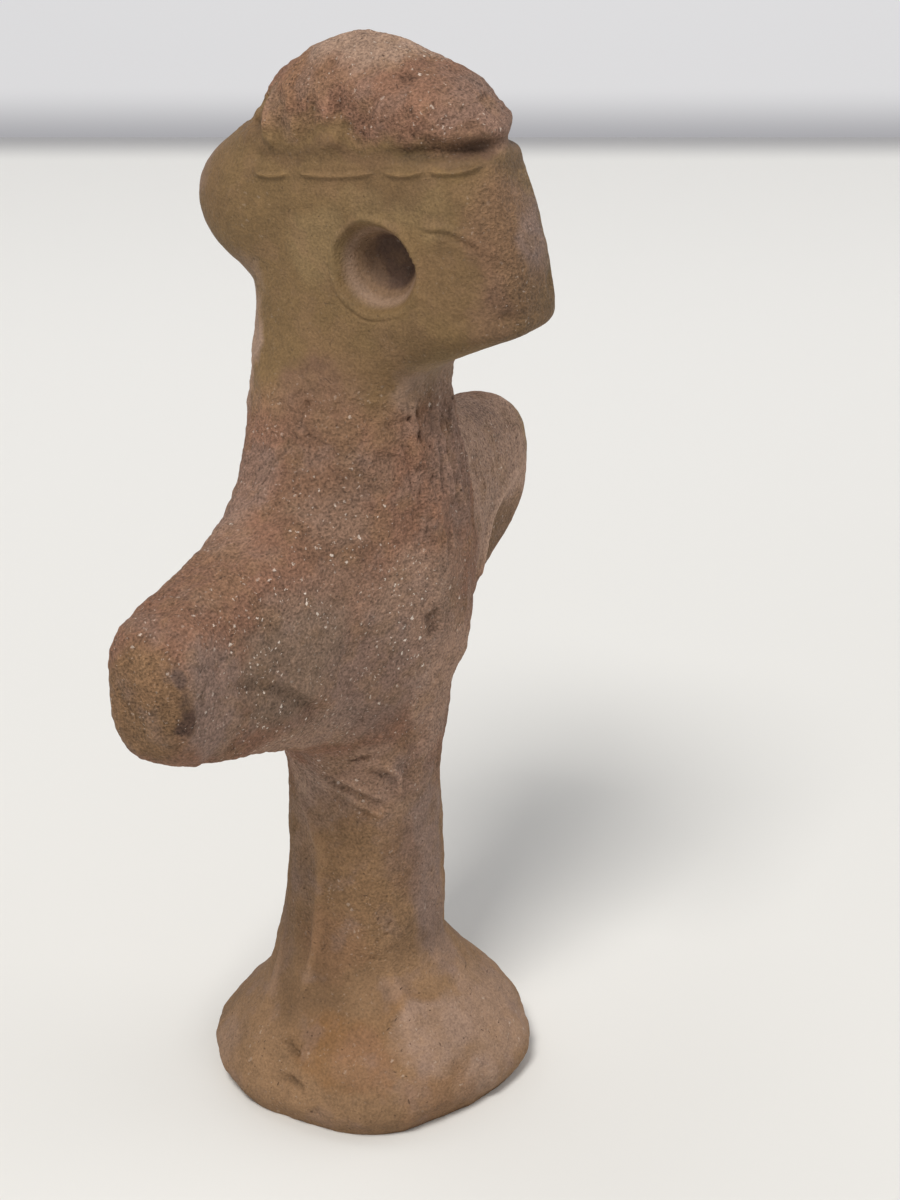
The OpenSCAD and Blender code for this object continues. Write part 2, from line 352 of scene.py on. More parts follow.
# Ridges, and creases where the height is below 0: [points, width, height]
STROKES = [
    # the scratch from the eye towards the beak, and light ones on the cheek
    [
        [
            (-8.6, -14.2, 129.2),
            (-8.3, -17.4, 129.5),
            (-7.8, -19.5, 129.2),
            (-7.1, -22.1, 127.8),
            (-5.8, -24.4, 126),
        ],
        0.4,
        0.34,
    ],
    [[(-8.6, -14.6, 128.5), (-8.3, -18, 128.7), (-7.1, -22.1, 126.9)], 0.4, -0.25],
    [[(-8.5, 2.8, 128.3), (-8.7, 1.7, 129.9)], 0.3, -0.15],
    [[(-8.6, -16.1, 126.6), (-8.4, -18.3, 125), (-8.3, -19.4, 123.2)], 0.35, -0.16],
    [[(-8.9, -13.6, 121.2), (-8.7, -17.4, 119.4)], 0.5, 0.13],
    [[(8.6, -15, 128), (8.2, -20, 127.2), (6.8, -23, 125.4)], 0.4, -0.2],
    # gouges in the cap, under its lump
    [[(-6.4, -14.9, 144.4), (-6.6, -17.8, 142.9), (-7.6, -17, 141.3)], 0.5, -0.5],
    [[(-8.3, -12, 141), (-7.9, -15, 139.6), (-6.5, -17, 139.4)], 0.6, -0.4],
    [[(-2, -19, 143.6), (1.5, -18.6, 143.8)], 0.5, -0.4],
    # the scraped strip behind the neck
    [[(-6.1, 11.1, 115.3), (-8, 9.4, 110.7), (-10.4, 7.7, 103.6), (-13.1, 6.4, 99.2)], 0.5, 0.2],
    [[(-4.8, 12.4, 117), (-6.4, 11.6, 109), (-9.4, 10, 101)], 0.6, -0.18],
    # a scratch on the neck, and gouges of the arm, the chest and the belly
    [[(-10.5, -3.5, 105.4), (-10.8, -3.6, 103.4)], 0.3, -0.4],
    [[(-31, -4.4, 87), (-30.6, -4.9, 85.8), (-30.3, -5.2, 84.6)], 0.6, -0.8],
    [[(-9.2, -10.6, 99.2), (-8.6, -11.2, 96.8)], 0.5, -0.5],
    [[(-5, -14.1, 76.4), (-4.5, -14.1, 74.2), (-4.1, -13.8, 72.2)], 0.95, -1.25],
    # edges of the torn patch
    [
        [(0.4, -12.4, 105.2), (-5.6, -11.9, 100.9), (-4.6, -13.6, 91.9), (-1.5, -15.6, 82.3)],
        0.6,
        0.22,
    ],
    [[(-8.4, -9.3, 102), (-0.1, -12.6, 104)], 0.7, -0.3],
    [[(1.6, -12.6, 103), (1.6, -14.5, 92.7), (0.4, -15.2, 84)], 0.8, -0.3],
    # the crease where the right arm was pressed on, its ridge, and the edge of the arm's end
    [
        [
            (-38.5, -4.4, 77.4),
            (-32.1, -5.4, 74.6),
            (-27.6, -6.6, 71.8),
            (-23.6, -7.2, 68.2),
            (-18.1, -8.1, 63.8),
            (-11.1, -9.4, 58.3),
        ],
        0.85,
        -0.95,
    ],
    [[(-30, -6, 73), (-27.6, -6.6, 71.8), (-23.6, -7.2, 68.2), (-17, -8.2, 63)], 0.5, -0.8],
    [[(-28.2, -6.8, 73.4), (-23.8, -7.6, 70.2), (-18.4, -8.6, 66)], 1.4, 0.3],
    [[(-38.4, -2.4, 86.4), (-43.6, -3.6, 83.6), (-45.4, -3.6, 78.4), (-44.4, -3, 70)], 1.6, 0.3],
    # the ridge over the left arm's hollow, the crease of its joint, and one under the right arm
    [[(38, -4, 81), (31, -5.2, 79.6), (25.6, -6.2, 77), (22, -7.4, 72.6), (20, -8, 67)], 1.3, 0.8],
    [[(14, -9.8, 97), (15.5, -8.6, 88), (15, -9.6, 78), (12.5, -11, 70)], 1.6, -0.5],
    [[(-13, -8, 64), (-14, -7.5, 60), (-11.2, -7.5, 55)], 1.0, -0.3],
    # the scar where the stem meets the body: slanting wrinkles beside a loop
    [[(-11.4, 0.4, 53.4), (-11, -2.6, 51.8), (-9.6, -5.6, 49.6), (-7.8, -8, 47.6)], 0.5, 0.8],
    [[(-11.4, -0.4, 51.8), (-10.6, -3.4, 50), (-9, -6.6, 47.8), (-7.2, -8.6, 46)], 0.5, -0.8],
    [[(-11.2, -0.6, 50), (-10.2, -3.8, 48.2), (-8.8, -6.6, 46.2), (-7.4, -8.2, 44.6)], 0.45, 0.7],
    [[(-11, -0.8, 48.4), (-10, -4, 46.6), (-8.6, -6.8, 44.6)], 0.5, -0.6],
    [[(-10.4, -6, 54.4), (-8.2, -8.6, 53.4), (-6.2, -9.8, 50.6), (-5.8, -9.7, 47.4)], 0.6, 0.75],
    [[(-9.6, -6.6, 53), (-7.8, -8.4, 51.6), (-6.9, -8.9, 49)], 0.55, -0.45],
    [[(-5.6, -10.1, 53), (-4.4, -10.2, 49.6), (-5, -9.9, 46)], 0.6, -0.5],
    [[(-11.8, -3, 56), (-11, -5, 55), (-9.6, -7.6, 55.4)], 0.5, -0.5],
    # smears down the stem and the foot, and two cracks in the foot's flank
    [
        [
            (-9.7, 4.5, 46.5),
            (-10.7, 0.3, 38.8),
            (-10.9, 1.2, 28),
            (-12.4, 1.8, 20),
            (-14.4, 2.4, 15),
        ],
        0.9,
        0.6,
    ],
    [[(-9.4, 5.6, 44), (-10.4, 3.2, 36), (-10.6, 3.4, 28), (-12.2, 4.6, 19.6)], 1.5, -0.4],
    [[(-8.7, 8.4, 22), (-11.7, 8.3, 15.4), (-14.4, 8.6, 11)], 0.9, 0.45],
    [[(-7.9, -8.5, 24), (-8.6, -11.1, 16.7), (-10.1, -13.3, 12), (-11.5, -16, 8)], 1.0, 0.45],
    [[(-6, -9.6, 24), (-6.4, -12.6, 16), (-7.4, -16, 10)], 1.3, -0.35],
    [[(-13.6, 8, 13.2), (-17, 6.4, 9.6), (-21.1, 2.9, 5.8)], 0.8, 0.25],
    [[(-17.9, 3, 10.7), (-17.9, 2, 10.5), (-18.3, 0.9, 9.9), (-18.7, -0.7, 9.4)], 0.5, -0.9],
    [[(-20.2, 0.6, 6.6), (-20.9, -1.4, 6.2), (-21.3, -2.6, 5.9)], 0.5, -0.9],
    [[(10.5, -3, 46), (10.8, -1, 36), (11, 0, 27), (14, 1, 16)], 1.0, 0.3],
    [[(3, 10.2, 44), (2, 10.6, 34), (4, 11.4, 24)], 1.1, -0.3],
    [[(-3, 10.4, 40), (-4, 10.8, 28), (-6, 13.4, 15)], 0.9, 0.28],
    [[(4, -10.6, 40), (5, -10.4, 30), (7, -11.6, 20)], 1.1, -0.28],
]

# A dab or a stroke is left out beyond this many of its own sizes
FAR = 2.3

# The share of a stroke's length over which it fades at each end
FADE = 0.15


def dabs(p, h, table):
    """Adds soft bumps and dents to the heights h: each is its height times exp of minus the
    squared distance from its centre, measured in its own sizes."""
    for centre, size, height in table:
        near = np.nonzero(np.abs(p[:, 2] - centre[2]) < FAR * size[2])[0]
        q = ((p[near] - centre) / size) ** 2
        h[near] += height * np.exp(-q.sum(1))


def strokes(p, h):
    """Adds the ridges and creases to the heights h: along straight runs between points, each
    is its height times exp of minus the squared distance from the nearest run, in widths. It
    fades out at both ends."""
    for points, width, height in STROKES:
        line = np.array(points, float)
        ends = line.min(0) - FAR * width, line.max(0) + FAR * width
        near = np.nonzero((p[:, 2] > ends[0][2]) & (p[:, 2] < ends[1][2]))[0]
        near = near[((p[near] > ends[0]) & (p[near] < ends[1])).all(1)]
        q = p[near]
        nearest = np.full(len(q), 1e9)
        place = np.zeros(len(q))
        runs = len(line) - 1
        for i in range(runs):
            start, run = line[i], line[i + 1] - line[i]
            t = np.clip(((q - start) @ run) / (run @ run), 0, 1)
            d = ((q - start - t[:, None] * run) ** 2).sum(1)
            place = np.where(d < nearest, (i + t) / runs, place)
            nearest = np.minimum(nearest, d)
        fade = ramp(place, 0, FADE) * ramp(1 - place, 0, FADE)
        h[near] += height * fade * np.exp(-nearest / width**2)


def above_groove(p):
    """Height above the sloping plane of the groove."""
    return p[:, 2] - GROOVE_Z + GROOVE_RISE * (p[:, 1] - GROOVE_Y)


def eye_bowls(p):
    """The bowl pressed into each cheek: a round floor a little forward of the middle and
    above it, a wall that rises evenly to a crisp rim, a thin lip of displaced clay that is
    highest above the bowl, and the fine mark that the tool's shoulder left round its back."""
    x, y, z = p.T
    cheek = ramp(np.abs(x), 1.5, 3.0)
    u, v = (y - EYE_Y) / EYE_HALF_Y, (z - EYE_Z) / EYE_HALF_Z
    r = np.sqrt(u**2 + v**2)
    angle = np.arctan2(v, u)
    r = r * (1 + 0.018 * np.sin(3 * angle + 0.6) + 0.012 * np.sin(7 * angle + 2))
    inner = r + 0.14 * (1 - ramp(r, 0.2, 1.0)) * np.cos(angle + 0.8)
    wall = np.clip((inner - 0.44) / 0.56, 0, 1) ** 1.25
    bowl = -EYE_DEPTH * (1 - wall)
    lip = (0.26 + 0.2 * np.sin(angle)) * np.exp(-(((r - 1.08) / 0.07) ** 2))
    behind = 0.5 + 0.5 * np.cos(angle + 0.5)
    mark = -0.22 * behind * np.exp(-(((r - 1.14) / 0.035) ** 2))
    return cheek * (bowl + lip + mark)


# Runs of the burr along the groove: from y to y, on both sides
BURR_RUNS = ((9.8, 4.4), (2.8, -8.6), (-9.8, -15.2), (-15.8, -21.6))


def groove(p):
    """The channel under the cap, deeper at the brow's corners, and its broken burr of clay."""
    s = above_groove(p)
    x, y, _ = p.T
    fade = 1 - ramp(y, 8.5, 12.5)
    corner = ramp(-y, 8, 17) * ramp(np.abs(x), 0.5, 4.5)
    depth = 0.35 + 0.95 * corner
    channel = -depth * np.exp(-(((s - 2.1) / 1.15) ** 2))
    burr = 0
    for start, end in BURR_RUNS:
        middle, half = (start + end) / 2, (start - end) / 2
        t = (y - middle) / half
        sag = -0.35 * (1 - np.clip(t * t, 0, 1))
        run = 1 - ramp(np.abs(t), 0.75, 1.05)
        burr = np.maximum(burr, 0.44 * run * np.exp(-(((s - sag - 0.1) / 0.3) ** 2)))
    burr = burr * (1 - ramp(x, 0, 3) * ramp(-y, 13, 17))
    return fade * (channel + burr)


def broad_relief(p):
    """The slow unevenness of a surface shaped by fingers, 5 mm and wider, and its swells."""
    smooth = ramp(p[:, 2], 103, 112)
    h = (0.3 - 0.14 * smooth) * lumps(p, 13.0, 2)
    dabs(p, h, SWELLS)
    return h


def fine_relief(p):
    """The worked detail of the surface: grain, tears, tool marks and pits."""
    x, y, z = p.T
    above = above_groove(p)
    cap = ramp(above, 3.0, 6.0)
    front = ramp(-y, 2, 9)
    torn = front * ramp(z, 78, 86) * (1 - ramp(z, 101, 107)) * ramp(x, -10, -4)
    smooth = ramp(z, 103, 112) * (1 - cap)
    low_stem = 1 - ramp(z, 50, 58)
    left = ramp(x, 20, 30)
    h = (0.14 - 0.09 * smooth - 0.08 * left) * lumps(p + 40, 3.2, 3)
    h = h + (0.12 - 0.09 * smooth) * (1 - 0.6 * low_stem - 0.7 * left) * lumps(p + 70, 1.1, 2)
    h = h + cap * (0.36 * lumps(p + 9, 4.4, 4))
    fringe = ramp(above, 2.6, 4.5) * (1 - ramp(above, 8, 11)) * (1 - ramp(np.abs(y), 9, 13))
    h = h + 0.7 * fringe * noise(p / np.array([3, 1, 3.2]), 1.25, 0.3)
    h = h + torn * 0.36 * lumps(p / np.array([0.5, 0.5, 2.6]), 1.5, 3)
    h = h + 0.17 * low_stem * noise(p / np.array([1, 1, 7.0]), 1.7, 0.4)
    scar = np.exp(-((p - (-9, -5, 50)) ** 2 / (36, 36, 25)).sum(1))
    h = h + 0.4 * scar * lumps(p / np.array([1.6, 1.6, 1.0]) + 20, 1.9, 2)
    h = h + groove(p)
    dabs(p, h, DABS)
    strokes(p, h)
    return h


def clay(p):
    """Signed distance to the worked surface of the figure."""
    return body(p) - broad_relief(p) - fine_relief(p) - eye_bowls(p)


# ---------------------------------------------------------------- rays and grids

# Even steps of a ray on its way out, and the times its last stretch is halved
STEPS = 56
HALVINGS = 12
# How far the worked surface may lie below the smooth body, and above it
DEEPEST = 5.5
HIGHEST = 2


def leave(origins, rays, reach, limit):
    """Where each ray leaves the clay. It walks out along the smooth body in even steps to the
    last one inside, then halves the stretch around it on the worked surface. limit is a
    signed distance to a trimming solid, outside which there is no clay."""

    def depth(t, shape):
        p = origins + rays * t[:, None]
        return np.maximum(shape(p), limit(p)) if limit else shape(p)

    last = np.zeros(len(rays))
    inside = np.ones(len(rays), bool)
    for t in np.arange(1, STEPS + 1) * reach / STEPS:
        inside = inside & (depth(np.full(len(rays), t), body) < 0)
        last = np.where(inside, t, last)
    start = np.maximum(last - DEEPEST, 0)
    end = last + reach / STEPS + HIGHEST
    for _ in range(HALVINGS):
        middle = (start + end) / 2
        solid = depth(middle, clay) < 0
        start = np.where(solid, middle, start)
        end = np.where(solid, end, middle)
    return origins + rays * middle[:, None]


def rings(centres, across, up, around=COLUMN_RAYS, swing=0, spine=0, reach=30, limit=None):
    """A grid of points on the clay, one ring of rays for each centre. A ring's rays fan out
    in the plane of across and up, and swing turns them from there towards its axis, which is
    across x up. They start on a spine of half length `spine` along up, which shrinks to the
    centre as the rays swing, so that a long section gets evenly spaced points."""
    around = int(around * DETAIL)
    a = np.arange(around)[None, :, None] * 2 * math.pi / around
    count = len(centres)
    across = np.broadcast_to(across, (count, 3))[:, None]
    up = np.broadcast_to(up, (count, 3))[:, None]
    swing = np.broadcast_to(swing, count)[:, None, None]
    spine = np.broadcast_to(spine, count)[:, None, None]
    fan = np.cos(a) * across + np.sin(a) * up
    rays = np.cos(swing) * fan + np.sin(swing) * np.cross(across, up)
    origins = centres[:, None] + spine * np.cos(swing) * np.sin(a) * up
    shape = origins.shape
    hits = leave(origins.reshape(-1, 3), rays.reshape(-1, 3), reach, limit)
    return hits.reshape(shape)


def spaced(*knots):
    """Values from (value, spacing) pairs: between two pairs the spacing changes evenly."""
    values = [np.array([float(knots[0][0])])]
    for (a, from_step), (b, to_step) in zip(knots, knots[1:]):
        mean = (from_step + to_step) / 2
        count = max(2, round(abs(b - a) / mean * DETAIL))
        t = np.arange(1, count + 1) / count
        values.append(a + (b - a) * t * (from_step + (to_step - from_step) * t / 2) / mean)
    return np.concatenate(values)


def tilted(heights, tilt, spine):
    """Centres, in-plane directions and spines for level or sloping sections of the column.
    spine is a table of [height, middle y, half length]."""
    table = np.array(spine, float)
    y = np.interp(heights, table[:, 0], table[:, 1])
    half = np.interp(heights, table[:, 0], table[:, 2])
    centres = np.stack([0 * y, y, heights - tilt * (y - GROOVE_Y)], -1)
    up = np.stack([0 * y, 1 + 0 * y, -tilt + 0 * y], -1)
    return centres, up / np.linalg.norm(up, axis=1, keepdims=True), half


# ---------------------------------------------------------------- meshes


def make_piece(name, grid, material, domed=False, trims=()):
    """A closed mesh from a grid of rings, which rides on the body and stands for the CAD node
    of its name. Each flat end is closed by rings that shrink in even steps to a middle point,
    and a domed end by a fan. trims are (point, normal) planes for trim()."""
    rows, around = grid.shape[:2]
    shrink = np.linspace(0, 1, END_RINGS, endpoint=False)[1:, None, None]
    first, last = (ring + (ring.mean(0) - ring) * shrink for ring in (grid[0], grid[-1]))
    last = last[:0] if domed else last
    skin = np.concatenate([first[::-1], grid, last])
    points = np.concatenate([skin.reshape(-1, 3), [grid[0].mean(0), grid[-1].mean(0)]])

    i, j = np.meshgrid(np.arange(len(skin) - 1), np.arange(around), indexing="ij")
    k = (j + 1) % around
    low_row, high_row = i * around, (i + 1) * around
    quads = np.stack([low_row + j, low_row + k, high_row + k, high_row + j], -1)
    j, k = j[0], k[0]
    top = (len(skin) - 1) * around
    start, end = (np.full(around, len(points) - n) for n in (2, 1))
    fans = np.concatenate([np.stack([start, k, j], -1), np.stack([top + j, top + k, end], -1)])
    worked = (i >= len(first)) & (i < len(first) + rows - 1)
    fan_smooth = np.repeat([False, domed], around)

    corners = np.concatenate([quads.ravel(), fans.ravel()])
    sizes = np.repeat([4, 3], [quads.size // 4, len(fans)])
    mesh = bpy.data.meshes.new(name)
    mesh.vertices.add(len(points))
    mesh.vertices.foreach_set("co", (points * MM).ravel())
    mesh.loops.add(len(corners))
    mesh.loops.foreach_set("vertex_index", corners)
    mesh.polygons.add(len(sizes))
    mesh.polygons.foreach_set("loop_start", np.cumsum(sizes) - sizes)
    mesh.polygons.foreach_set("use_smooth", np.concatenate([worked.ravel(), fan_smooth]))
    mesh.update(calc_edges=True)
    ends = np.empty(len(mesh.edges) * 2, int)
    mesh.edges.foreach_get("vertices", ends)
    ring_of = ends.reshape(-1, 2) // around
    rims = [len(first)] if domed else [len(first), len(first) + rows - 1]
    sharp = (ring_of[:, 0] == ring_of[:, 1]) & np.isin(ring_of[:, 0], rims)
    mesh.attributes.new("sharp_edge", "BOOLEAN", "EDGE").data.foreach_set("value", sharp)
    depth = mesh.attributes.new("relief", "FLOAT", "POINT")
    depth.data.foreach_set("value", fine_relief(points))
    for point, normal in trims:
        trim(mesh, point, normal)

    piece = bpy.data.objects.new(name, mesh)
    bpy.context.scene.collection.objects.link(piece)
    mesh.materials.append(material)
    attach(piece, "root")
    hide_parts(name.replace("clay_", ""))
    return piece


def trim(mesh, point, normal):
    """Cuts a mesh at a plane, drops what lies past it and fills the cut with a flat face."""
    work = bmesh.new()
    work.from_mesh(mesh)
    cut = bmesh.ops.bisect_plane(
        work,
        geom=work.verts[:] + work.edges[:] + work.faces[:],
        dist=1e-7,
        plane_co=Vector(point) * MM,
        plane_no=normal,
        clear_outer=True,
    )
    rim = [part for part in cut["geom_cut"] if isinstance(part, bmesh.types.BMEdge)]
    for edge in rim:
        edge.smooth = False
    for face in bmesh.ops.contextual_create(work, geom=rim)["faces"]:
        face.smooth = False
    work.to_mesh(mesh)
    work.free()


# ---------------------------------------------------------------- the pieces

# Where the rays of the column start: [height, middle y, half length]
COLUMN_SPINE = [[0, 0, 0], [NECK, 0.5, 2], [106, 0, 3], [113, -5, 8], [118, -6, 9], [136, -4, 8]]
X, Y, Z = np.eye(3)


def foot(material):
    """The bell foot: level rings from the resting face to the stem."""
    heights = spaced((0, 0.12), (4, 0.24), (FOOT_TOP, 0.24))
    centres, up, half = tilted(heights, 0, COLUMN_SPINE)
    return make_piece("clay_foot", rings(centres, X, up, spine=half), material)


def stem(material):
    """The column between the foot and the waist."""
    centres, up, half = tilted(spaced((FOOT_TOP, 0.26), (WAIST, 0.26)), 0, COLUMN_SPINE)
    return make_piece("clay_stem", rings(centres, X, up, spine=half), material)


def torso(material):
    """The body: level rings from the waist to the neck, cut flat where each arm joins it."""
    centres, up, half = tilted(spaced((WAIST, 0.24), (NECK, 0.25)), 0, COLUMN_SPINE)
    grid = rings(centres, X, up, spine=half, limit=lambda p: np.abs(p[:, 0]) - SHOULDER - 3)
    trims = [((side * SHOULDER, 0, 0), (side, 0, 0)) for side in (-1, 1)]
    return make_piece("clay_torso", grid, material, trims=trims)


# The middle line of both arms at the shoulder, and how far from its end an arm starts to turn
ARM_Y = 1
ARM_Z = 76
ARM_END = 10


def arm_piece(name, side, reach, tip_z, material):
    """An arm stub: rings across it from the shoulder out, whose rays then swing round to
    close its end. The middle line of the rings moves 2 mm back on its way out."""
    turn = reach - ARM_END
    out = spaced((SHOULDER, 0.25), (turn, 0.25))
    turns = int(ARM_TURNS * DETAIL)
    swing = np.concatenate([0 * out, np.linspace(0, math.pi / 2, turns + 1)[1:] - POLE_GAP])
    out = np.concatenate([out, np.full(turns, turn)])
    t = (out - SHOULDER) / (turn - SHOULDER)
    centres = np.stack([side * out, ARM_Y + 2 * t, ARM_Z + (tip_z - ARM_Z) * t], -1)
    half = 8 - 4 * t
    across, up = (Y, Z) if side > 0 else (-Y, Z)
    grid = rings(centres, across, up, around=ARM_RAYS, swing=swing, spine=half)
    return make_piece(name, grid, material, domed=True)


def head(material):
    """The neck and the head: level rings below, tilting with height until they lie in the
    plane of the groove. Its back is cut flat where the lobe of hair joins it."""
    heights = spaced((NECK, 0.24), (108, 0.16), (118, 0.15), (124, 0.22), (GROOVE_Z, 0.22))
    tilt = GROOVE_RISE * ramp(heights, 112, 132)
    centres, up, half = tilted(heights, tilt, COLUMN_SPINE)
    grid = rings(centres, X, up, spine=half, reach=36, limit=lambda p: p[:, 1] - HAIR_FACE - 2)
    trims = [((0, HAIR_FACE, 0), (0, 1, 0))]
    return make_piece("clay_head", grid, material, trims=trims)


def cap(material):
    """The dome: a ring in the plane of the groove, whose rays swing up to the crown."""
    turns = int(CAP_TURNS * DETAIL)
    swing = np.linspace(0, math.pi / 2 - POLE_GAP, turns)
    centres, up, half = tilted(np.full(turns, GROOVE_Z), GROOVE_RISE, COLUMN_SPINE)
    grid = rings(centres, X, up, swing=swing, spine=half, limit=lambda p: p[:, 1] - HAIR_FACE - 2)
    trims = [((0, HAIR_FACE, 0), (0, 1, 0))]
    return make_piece("clay_cap", grid, material, domed=True, trims=trims)


def hair_knot(material):
    """The lobe behind the head: rays that swing from its flat seat round to its back."""
    turns = int(HAIR_TURNS * DETAIL)
    swing = np.linspace(0, math.pi / 2 - HAIR_POLE_GAP, turns)
    centres = np.broadcast_to([0, HAIR_FACE, HAIR_CENTRE[2]], (turns, 3))
    grid = rings(centres, Z, X, around=HAIR_RAYS, swing=swing)
    return make_piece("clay_hair_knot", grid, material, domed=True)


# ---------------------------------------------------------------- materials


class Value:
    """An output socket of a node. Arithmetic and comparison on it add Math nodes."""

    def __init__(self, finish, socket):
        self.finish = finish
        self.socket = socket

    def maths(self, operation, a, b):
        return self.finish.node("ShaderNodeMath", {"operation": operation}, {0: a, 1: b})

    def __add__(self, other):
        return self.maths("ADD", self, other)

    def __sub__(self, other):
        return self.maths("SUBTRACT", self, other)

    def __rsub__(self, other):
        return self.maths("SUBTRACT", other, self)

    def __mul__(self, other):
        return self.maths("MULTIPLY", self, other)

    def __lt__(self, other):
        return self.maths("LESS_THAN", self, other)

    __radd__ = __add__
    __rmul__ = __mul__


class Finish:
    """A material in the making, with the few node patterns that its recipe needs."""

    def __init__(self, name):
        self.material = bpy.data.materials.new(name)
        self.material.use_nodes = True
        self.tree = self.material.node_tree
        self.shader = self.tree.nodes["Principled BSDF"]
        self.feed(self.shader, {"Roughness": 0.8, "Specular IOR Level": 0.25})

    def feed(self, node, inputs):
        """Gives sockets their links or values."""
        for key, value in inputs.items():
            if isinstance(value, Value):
                self.tree.links.new(value.socket, node.inputs[key])
            else:
                node.inputs[key].default_value = value

    def node(self, kind, settings, inputs, output=0):
        """Adds a node: its settings first, then the values or links of its sockets."""
        node = self.tree.nodes.new(kind)
        for name, value in settings.items():
            setattr(node, name, value)
        self.feed(node, inputs)
        return Value(self, node.outputs[output])

    def grain(self, place, size, detail, output=0):
        """Noise from 0 to 1 with features of a size in millimetres."""
        inputs = {"Vector": place, "Scale": 1 / size, "Detail": detail}
        return self.node("ShaderNodeTexNoise", {}, inputs, output)

    def ramp(self, value, start, end):
        """0 at start, 1 at end, with a soft S between them."""
        inputs = {"Value": value, "From Min": start, "From Max": end}
        return self.node("ShaderNodeMapRange", {"interpolation_type": "SMOOTHSTEP"}, inputs)

    def mix(self, factor, a, b, blend="MIX"):
        """One colour over another."""
        settings = {"data_type": "RGBA", "blend_type": blend}
        inputs = {0: factor, 6: a, 7: b}
        return self.node("ShaderNodeMix", settings, inputs, 2)

    def blot(self, place, centre, size, hardness=2.2):
        """1 in the middle of an ellipsoid of given half sizes, 0 at its skin. A greater
        hardness draws the soft edge closer to the skin."""
        scale = [1 / s for s in size]
        shift = [-c / s for c, s in zip(centre, size)]
        inputs = {"Vector": place, "Location": shift, "Scale": scale}
        ball = self.node("ShaderNodeMapping", {"vector_type": "POINT"}, inputs)
        settings = {"gradient_type": "SPHERICAL"}
        fall = self.node("ShaderNodeTexGradient", settings, {"Vector": ball}, "Fac")
        return self.ramp(fall, 0, 1 / hardness)


# Colours of the clay, as the fire left it; some blots below also use them to paint shade and light
OLIVE = (0.18, 0.112, 0.05, 1)
MOSS = (0.24, 0.162, 0.077, 1)
HONEY = (0.2, 0.116, 0.058, 1)
OCHRE = (0.22, 0.131, 0.07, 1)
ORANGE = (0.23, 0.125, 0.068, 1)
RUST = (0.2, 0.104, 0.044, 1)
ROSE = (0.205, 0.109, 0.07, 1)
RUSSET = (0.168, 0.094, 0.058, 1)
PALE_ROSE = (0.285, 0.188, 0.135, 1)
# a chalky pale, also used as painted light on the left arm's front and on the belly
CHALK_AND_PAINTED_LIGHT = (0.42, 0.29, 0.215, 1)
LILAC = (0.215, 0.143, 0.112, 1)
TAUPE = (0.185, 0.124, 0.086, 1)
UMBER = (0.145, 0.084, 0.043, 1)
# a near black, used for dark stains and marks, and also as painted shade in the groove and the eye
# bowls
DARK_AND_PAINTED_SHADE = (0.07, 0.04, 0.03, 1)
LIGHT_GRAIN = (0.8, 0.68, 0.58, 1)

